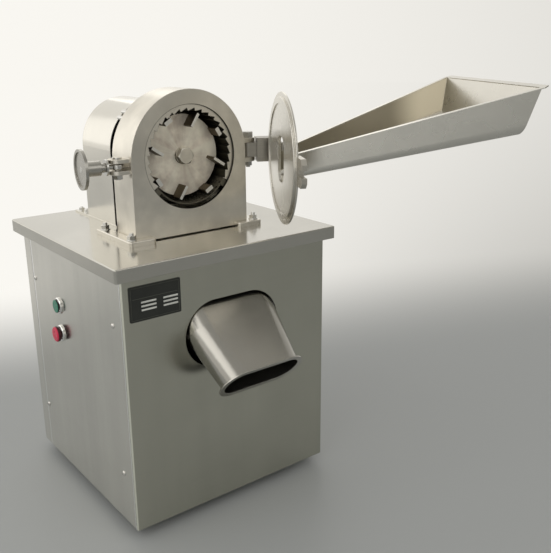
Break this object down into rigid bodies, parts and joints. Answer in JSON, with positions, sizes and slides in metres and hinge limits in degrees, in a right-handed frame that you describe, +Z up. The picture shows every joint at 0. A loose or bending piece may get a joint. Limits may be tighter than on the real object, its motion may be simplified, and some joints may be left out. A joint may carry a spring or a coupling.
{
  "type": "laboratory hammer mill",
  "caption": "Stainless laboratory mill on a cabinet: hinged door with feed hopper, toothed grinding chamber with a hammer rotor, swing bolt latch and front discharge duct.",
  "frame": {"origin": "centre of the foot hole pattern, on the floor the mill stands on", "axes": "+X along the front towards the door hinge, -Y out of the front, +Z up"},
  "size_m": [0.7181, 0.7377, 0.727],
  "materials": {
    "stainless_sheet": "brushed stainless sheet",
    "stainless_top": "polished stainless sheet",
    "stainless_cast": "turned and ground stainless",
    "stainless_polished": "polished stainless",
    "sieve_steel": "perforated stainless",
    "rotor_steel": "machined steel",
    "shaft_steel": "ground steel",
    "bright_fastener": "plated",
    "dark_fastener": "black oxide",
    "bezel_chrome": "plated",
    "plate_black": "satin",
    "button_green": "gloss",
    "button_red": "gloss",
    "black_plastic": "matt",
    "pedestal_iron": "painted casting",
    "pulley_iron": "machined",
    "motor_paint": "enamel",
    "belt_rubber": "matt",
    "foot_rubber": "matt"
  },
  "bodies": {
    "base": {"front_panel": "stainless_sheet", "back_panel": "stainless_sheet", "side_panel_right": "stainless_sheet", "access_panel_left": "stainless_sheet", "panel_screws": "bright_fastener", "frame_posts": "stainless_sheet", "base_tray": "stainless_sheet", "feet": "foot_rubber", "foot_bushes": "bright_fastener", "worktop": "stainless_top", "nameplate": "plate_black", "button_bezels": "bezel_chrome", "button_locknuts": "black_plastic", "contact_carrier": "black_plastic", "mill_housing": "stainless_cast", "liner_ring": "stainless_cast", "sieve": "sieve_steel", "sieve_seats": "stainless_cast", "bearing_pedestal": "pedestal_iron", "flange_screws": "dark_fastener", "bearings": "shaft_steel", "drive_belt": "belt_rubber", "motor_body": "motor_paint", "motor_fan_cover": "motor_paint", "motor_terminal_box": "motor_paint", "motor_bolts": "bright_fastener", "rear_guard": "stainless_sheet", "guard_base": "stainless_sheet", "guard_bolts": "bright_fastener", "back_studs": "bright_fastener", "foot_plate_left": "stainless_cast", "foot_plate_right": "stainless_cast", "head_bolts": "bright_fastener", "hinge_bolt": "bright_fastener", "hinge_nut": "bright_fastener", "clevis_pin": "bright_fastener", "clevis_nut": "bright_fastener", "discharge_duct": "stainless_polished"},
    "door": {"door_disc": "stainless_polished", "door_arm": "stainless_cast", "arm_screws": "dark_fastener", "latch_fork": "stainless_cast", "hopper": "stainless_polished", "hopper_plate": "stainless_sheet", "hopper_screws": "bright_fastener"},
    "rotor": {"rotor_disc": "rotor_steel", "beater_bars": "rotor_steel", "beater_blocks": "rotor_steel", "rotor_washer": "bright_fastener", "rotor_bolt": "bright_fastener", "main_shaft": "shaft_steel", "mill_pulley": "pulley_iron"},
    "motor_drive": {"motor_shaft": "shaft_steel", "motor_pulley": "pulley_iron"},
    "swing_bolt_body": {"swing_bolt": "bright_fastener"},
    "thrust_washer": {"latch_washer": "bright_fastener"},
    "wheel": {"handwheel": "bright_fastener"},
    "start_cap": {"start_button": "button_green"},
    "stop_cap": {"stop_button": "button_red"}
  },
  "joints": [
    {"name": "door_hinge", "type": "hinge", "parent": "base", "child": "door", "pos_m": [0.1297, -0.0696, 0.6065], "axis": [0, 0, 1], "range_deg": [-63.8, 50]},
    {"name": "rotor_spin", "type": "hinge", "parent": "base", "child": "rotor", "pos_m": [-0.008, -0.063, 0.6085], "axis": [0, 1, 0], "continuous": true},
    {"name": "motor_spin", "type": "hinge", "parent": "base", "child": "motor_drive", "pos_m": [-0.008, 0.1, 0.135], "axis": [0, 1, 0], "continuous": true},
    {"name": "latch_swing", "type": "hinge", "parent": "base", "child": "swing_bolt_body", "pos_m": [-0.134, -0.08, 0.6035], "axis": [0, 0, 1], "range_deg": [-18, 97]},
    {"name": "latch_travel", "type": "slide", "parent": "swing_bolt_body", "child": "thrust_washer", "axis": [-0.9925, 0.1219, 0], "range_m": [-0.0015, 0.018]},
    {"name": "handwheel_spin", "type": "hinge", "parent": "thrust_washer", "child": "wheel", "pos_m": [-0.19157, -0.07293, 0.6035], "axis": [-0.9925, 0.1219, 0], "range_deg": [-360, 4320]},
    {"name": "start_press", "type": "slide", "parent": "base", "child": "start_cap", "axis": [1, 0, 0], "range_m": [0, 0.003], "stiffness_N_per_m": 400, "springref_m": -0.002},
    {"name": "stop_press", "type": "slide", "parent": "base", "child": "stop_cap", "axis": [1, 0, 0], "range_m": [0, 0.003], "stiffness_N_per_m": 400, "springref_m": -0.002}
  ],
  "couplings": [
    {"joint": "motor_spin", "follows": "rotor_spin", "ratio": 0.66667},
    {"joint": "latch_travel", "follows": "handwheel_spin", "m_per_rad": 0.00023873}
  ]
}
